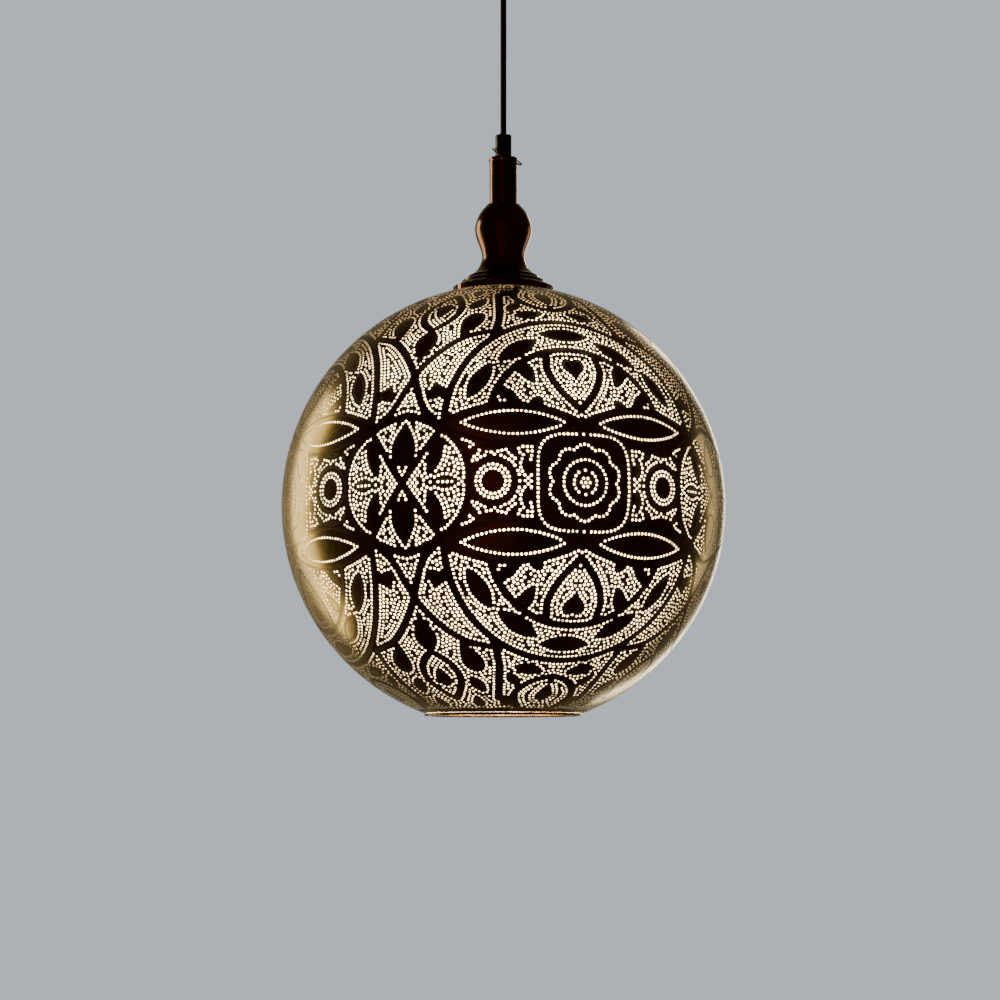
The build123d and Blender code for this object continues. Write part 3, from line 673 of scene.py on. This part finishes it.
def line_quads(lower, turn):
    """Four corners for each piece of engraved line in a quarter, as unit directions."""
    top = MOUTH_EDGE - 0.6 if lower else TOP_HOLES
    parts = np.concatenate([engraved(level, top) for level in LINE_INSETS])
    both = np.concatenate([parts, np.stack([2 * ROSETTE - parts[:, :, 0], parts[:, :, 1]], 2)])
    ends = on_sphere(both[:, :, 0] + turn, both[:, :, 1] * (-1 if lower else 1))
    a, b = ends[:, 0], ends[:, 1]
    along = b - a
    size = np.linalg.norm(along, axis=1)[:, None]
    keep = size[:, 0] > 1e-5
    a, b, along = a[keep], b[keep], (along / np.maximum(size, 1e-9))[keep]
    side = np.cross(along, a) * LINE_HALF / RADIUS
    over = along * 0.06 / RADIUS
    return np.stack([a - over - side, b + over - side, b + over + side, a - over + side], 1), both[keep]


def globe_piece(name, made, lower):
    """The mesh of one quarter: both skins, the hole walls, the edge at the opening and the engraving."""
    points, tris, walls, own, whole, rims = made
    flip = -1 if lower else 1
    dirs = on_sphere(points[:, 0] + FLOWER_TURN, points[:, 1] * flip)
    centres = on_sphere(whole[:, 0] + FLOWER_TURN, whole[:, 1] * flip)
    n = len(points)
    verts = np.concatenate([dirs * OUTER, dirs * INNER])
    t = tris if not lower else tris[:, ::-1]
    a, b = walls[:, 0], walls[:, 1]
    w = np.stack([a, a + n, b + n, b], 1)
    c, d = rims[:, 0], rims[:, 1]
    rim = np.stack([c, d, d + n, c + n], 1)
    if lower:
        w, rim = w[:, ::-1], rim[:, ::-1]
    rim = rim[:, ::-1]
    quads = np.concatenate([w, rim])
    strips, strip_at = line_quads(lower, FLOWER_TURN)
    strips = strips / np.linalg.norm(strips, axis=2)[:, :, None]
    facing = (np.cross(strips[:, 1] - strips[:, 0], strips[:, 2] - strips[:, 1]) * strips[:, 0]).sum(1) < 0
    strips[facing] = strips[facing][:, ::-1]
    first = len(verts)
    verts = np.concatenate([verts, strips.reshape(-1, 3) * (OUTER + LINE_PROUD)])
    strip_faces = first + np.arange(4 * len(strips)).reshape(-1, 4)
    loops = np.concatenate([t.ravel(), (t[:, ::-1] + n).ravel(), quads.ravel(), strip_faces.ravel()])
    sizes = np.concatenate([np.full(2 * len(t), 3), np.full(len(quads) + len(strips), 4)])
    mesh = bpy.data.meshes.new(name)
    mesh.vertices.add(len(verts))
    mesh.vertices.foreach_set("co", verts.astype(np.float32).ravel())
    mesh.loops.add(len(loops))
    mesh.loops.foreach_set("vertex_index", loops.astype(np.int32))
    mesh.polygons.add(len(sizes))
    starts = np.concatenate([[0], np.cumsum(sizes)[:-1]])
    mesh.polygons.foreach_set("loop_start", starts.astype(np.int32))
    mesh.polygons.foreach_set("loop_total", sizes.astype(np.int32))
    counts = [len(t), len(t), len(w), len(rim), len(strips)]
    mesh.polygons.foreach_set("material_index", np.repeat([0, 1, 2, 0, 3], counts).astype(np.int32))
    mesh.polygons.foreach_set("use_smooth", np.ones(len(sizes), bool))
    mesh.update(calc_edges=True)
    if mesh.validate(verbose=False):
        print("mesh was repaired:", name)
    # Every skin point faces straight out or in, so no facet or seam shows.
    normal = np.concatenate([dirs, -dirs, strips.reshape(-1, 3)])[loops]
    k = 6 * len(t)
    m = k + 4 * len(quads)
    hole = centres[own[w % n].ravel()] * OUTER
    at = verts[w.ravel()]
    inward = hole - at
    inward -= (inward * dirs[w.ravel() % n]).sum(1)[:, None] * dirs[w.ravel() % n]
    normal[k:k + 4 * len(w)] = inward / np.linalg.norm(inward, axis=1)[:, None]
    down = np.array([0, 0, -1.0 if lower else 1.0])
    normal[k + 4 * len(w):m] = down
    ends = np.zeros(len(mesh.edges) * 2, np.int32)
    mesh.edges.foreach_get("vertices", ends)
    p, q = ends.reshape(-1, 2).T
    crease = (p < 2 * n) & (own[p % n] >= 0) & (own[p % n] == own[q % n]) & ((p < n) == (q < n))
    mesh.attributes.new("sharp_edge", "BOOLEAN", "EDGE").data.foreach_set("value", crease)
    mesh.normals_split_custom_set(normal.tolist())
    # One chart for each skin; a hole's wall lies inside its own hole.
    uv = mesh.uv_layers.new(name="OFBake")
    u = (points[:, 0] + 2) / 94 * 0.5
    v = (points[:, 1] + 2) / 90
    line_u = (strip_at[:, 0, 0] + 2) / 94
    line_v = 0.984 + 0.012 * strip_at[:, 0, 1] / 90
    corner_u = (line_u[:, None] + [[0, 0.002, 0.002, 0]]).ravel()
    corner_v = (line_v[:, None] + [[0, 0, 0.002, 0.002]]).ravel()
    flat = np.stack([np.concatenate([u, u + 0.5, corner_u]), np.concatenate([v, v, corner_v])], 1)
    co = flat[loops]
    hu, hv = (whole[:, 0] + 2) / 94 * 0.5, (whole[:, 1] + 2) / 90
    mid = np.stack([hu, hv], 1)[own[w % n].ravel()]
    wall_uv = flat[(w % n).ravel()]
    deep = (w.ravel() >= n)[:, None]
    co[k:k + 4 * len(w)] = np.where(deep, mid + (wall_uv - mid) * 0.45, mid + (wall_uv - mid) * 0.95)
    uv.data.foreach_set("uv", co.astype(np.float32).ravel())
    for mat in (globe_skin, inner_skin_painted_glow, hole_wall_painted_glow, engraving):
        mesh.materials.append(mat)
    return mesh


def spare_points():
    """Points (lon, lat) in one eighth, about 5 mm apart in the solid areas, to keep the skin round there."""
    out = []
    step = 4.6
    for j, b in enumerate(np.arange(1.2, TOP_EDGE, step / MM)):
        w = step / (MM * math.cos(math.radians(b)))
        for a in np.arange(1.0 + (j % 2) * w / 2, ROSETTE, w):
            out.append((a, b))
    out = np.array(out)
    gap = solid_gap(out[:, 0], out[:, 1])
    d = on_sphere(dots[:, 0], dots[:, 1]) * RADIUS
    p = on_sphere(out[:, 0], out[:, 1]) * RADIUS
    mirror = on_sphere(-dots[:, 0], dots[:, 1]) * RADIUS
    known = np.concatenate([d, mirror])
    far = np.array([np.linalg.norm(known - q, axis=1).min() for q in p])
    edge = np.minimum(out[:, 0], ROSETTE - out[:, 0]) * np.cos(np.radians(out[:, 1])) * MM
    return [tuple(q) for q in out[(far > 2.6) & (edge > 1.2)]]


dots = sector_dots()
spare = spare_points()
GRID_LON = np.linspace(0, ROSETTE, 226)
GRID_LAT = np.linspace(0, LAT_TOP, 381)
grid_lon, grid_lat = np.meshgrid(GRID_LON, GRID_LAT)
FIELD = solid_gap(grid_lon.ravel(), grid_lat.ravel()).reshape(grid_lon.shape)
for lower in (False, True):
    half = "lower" if lower else "upper"
    made = quarter(dots, lower, spare)
    mesh = globe_piece("pierced_" + half, made, lower)
    for q in range(4):
        piece = bpy.data.objects.new(f"pierced_{half}_{q}", mesh)
        piece.location = CENTRE
        piece.rotation_euler = (0, 0, q * math.pi / 2)
        bpy.context.scene.collection.objects.link(piece)
        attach(piece, "lantern")
        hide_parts("globe_" + half)
    print(half, len(made[1]), "skin triangles,", len(made[4]), "holes a quarter")

# ---------------------------------------------------------------- light
def softbox(name, place, aim, size, watts, colour=(1, 1, 1)):
    data = bpy.data.lights.new(name, "AREA")
    data.shape = "RECTANGLE"
    data.size, data.size_y = size
    data.energy = watts
    data.color = colour
    lamp = bpy.data.objects.new(name, data)
    lamp.location = place
    lamp.rotation_euler = (Vector(aim) - Vector(place)).to_track_quat("-Z", "Y").to_euler()
    lamp.visible_camera = False
    bpy.context.scene.collection.objects.link(lamp)
    return lamp


softbox("box_left", (-1.75, 1.15, -0.55), (0, 0, -0.55), (0.80, 2.4), 30, (1.0, 0.86, 0.52))
softbox("box_right", (0.80, 2.4, -0.55), (0, 0, -0.55), (0.26, 2.6), 19, (1.0, 0.88, 0.62))
softbox("box_far_right", (1.75, 1.5, -0.45), (0, 0, -0.45), (0.35, 1.4), 3, (1.0, 0.88, 0.62))
softbox("box_ember", (-0.70, -3.4, -0.40), (0, 0, -0.40), (2.2, 5.0), 2.0, (1.0, 0.12, 0.03))
softbox("box_top", (0.2, -0.9, 1.6), (0, 0, -0.4), (1.6, 1.6), 3).visible_glossy = False

bulb_light = bpy.data.lights.new("bulb_light", "POINT")
bulb_light.energy = 30
bulb_light.color = (1.0, 0.80, 0.52)
bulb_light.shadow_soft_size = 0.012
bulb = bpy.data.objects.new("bulb_light", bulb_light)
bulb.location = CENTRE + Vector((0, 0, 0.080))
bpy.context.scene.collection.objects.link(bulb)
bulb.parent = frame["bodies"]["bulb"]

world = bpy.data.worlds.new("world")
world.use_nodes = True
bpy.context.scene.world = world
wt = world.node_tree
background = wt.nodes["Background"]
seen = wt.nodes.new("ShaderNodeBackground")
seen.inputs["Color"].default_value = (0.515, 0.590, 0.655, 1)
seen.inputs["Strength"].default_value = 1.0
# The room in front is dark; the pale wall behind is what the globe's edge mirrors.
background.inputs["Strength"].default_value = 1.0
heading = wt.nodes.new("ShaderNodeTexCoord")
split = wt.nodes.new("ShaderNodeSeparateXYZ")
wt.links.new(heading.outputs["Generated"], split.inputs["Vector"])
behind = ramp(wt, split.outputs["Y"], (0.030, 0.011, 0.007), (0.30, 0.26, 0.18), 0.50, 1.0)
wt.links.new(behind, background.inputs["Color"])
path = wt.nodes.new("ShaderNodeLightPath")
mix = wt.nodes.new("ShaderNodeMixShader")
wt.links.new(path.outputs["Is Camera Ray"], mix.inputs["Fac"])
wt.links.new(background.outputs["Background"], mix.inputs[1])
wt.links.new(seen.outputs["Background"], mix.inputs[2])
wt.links.new(mix.outputs["Shader"], wt.nodes["World Output"].inputs["Surface"])
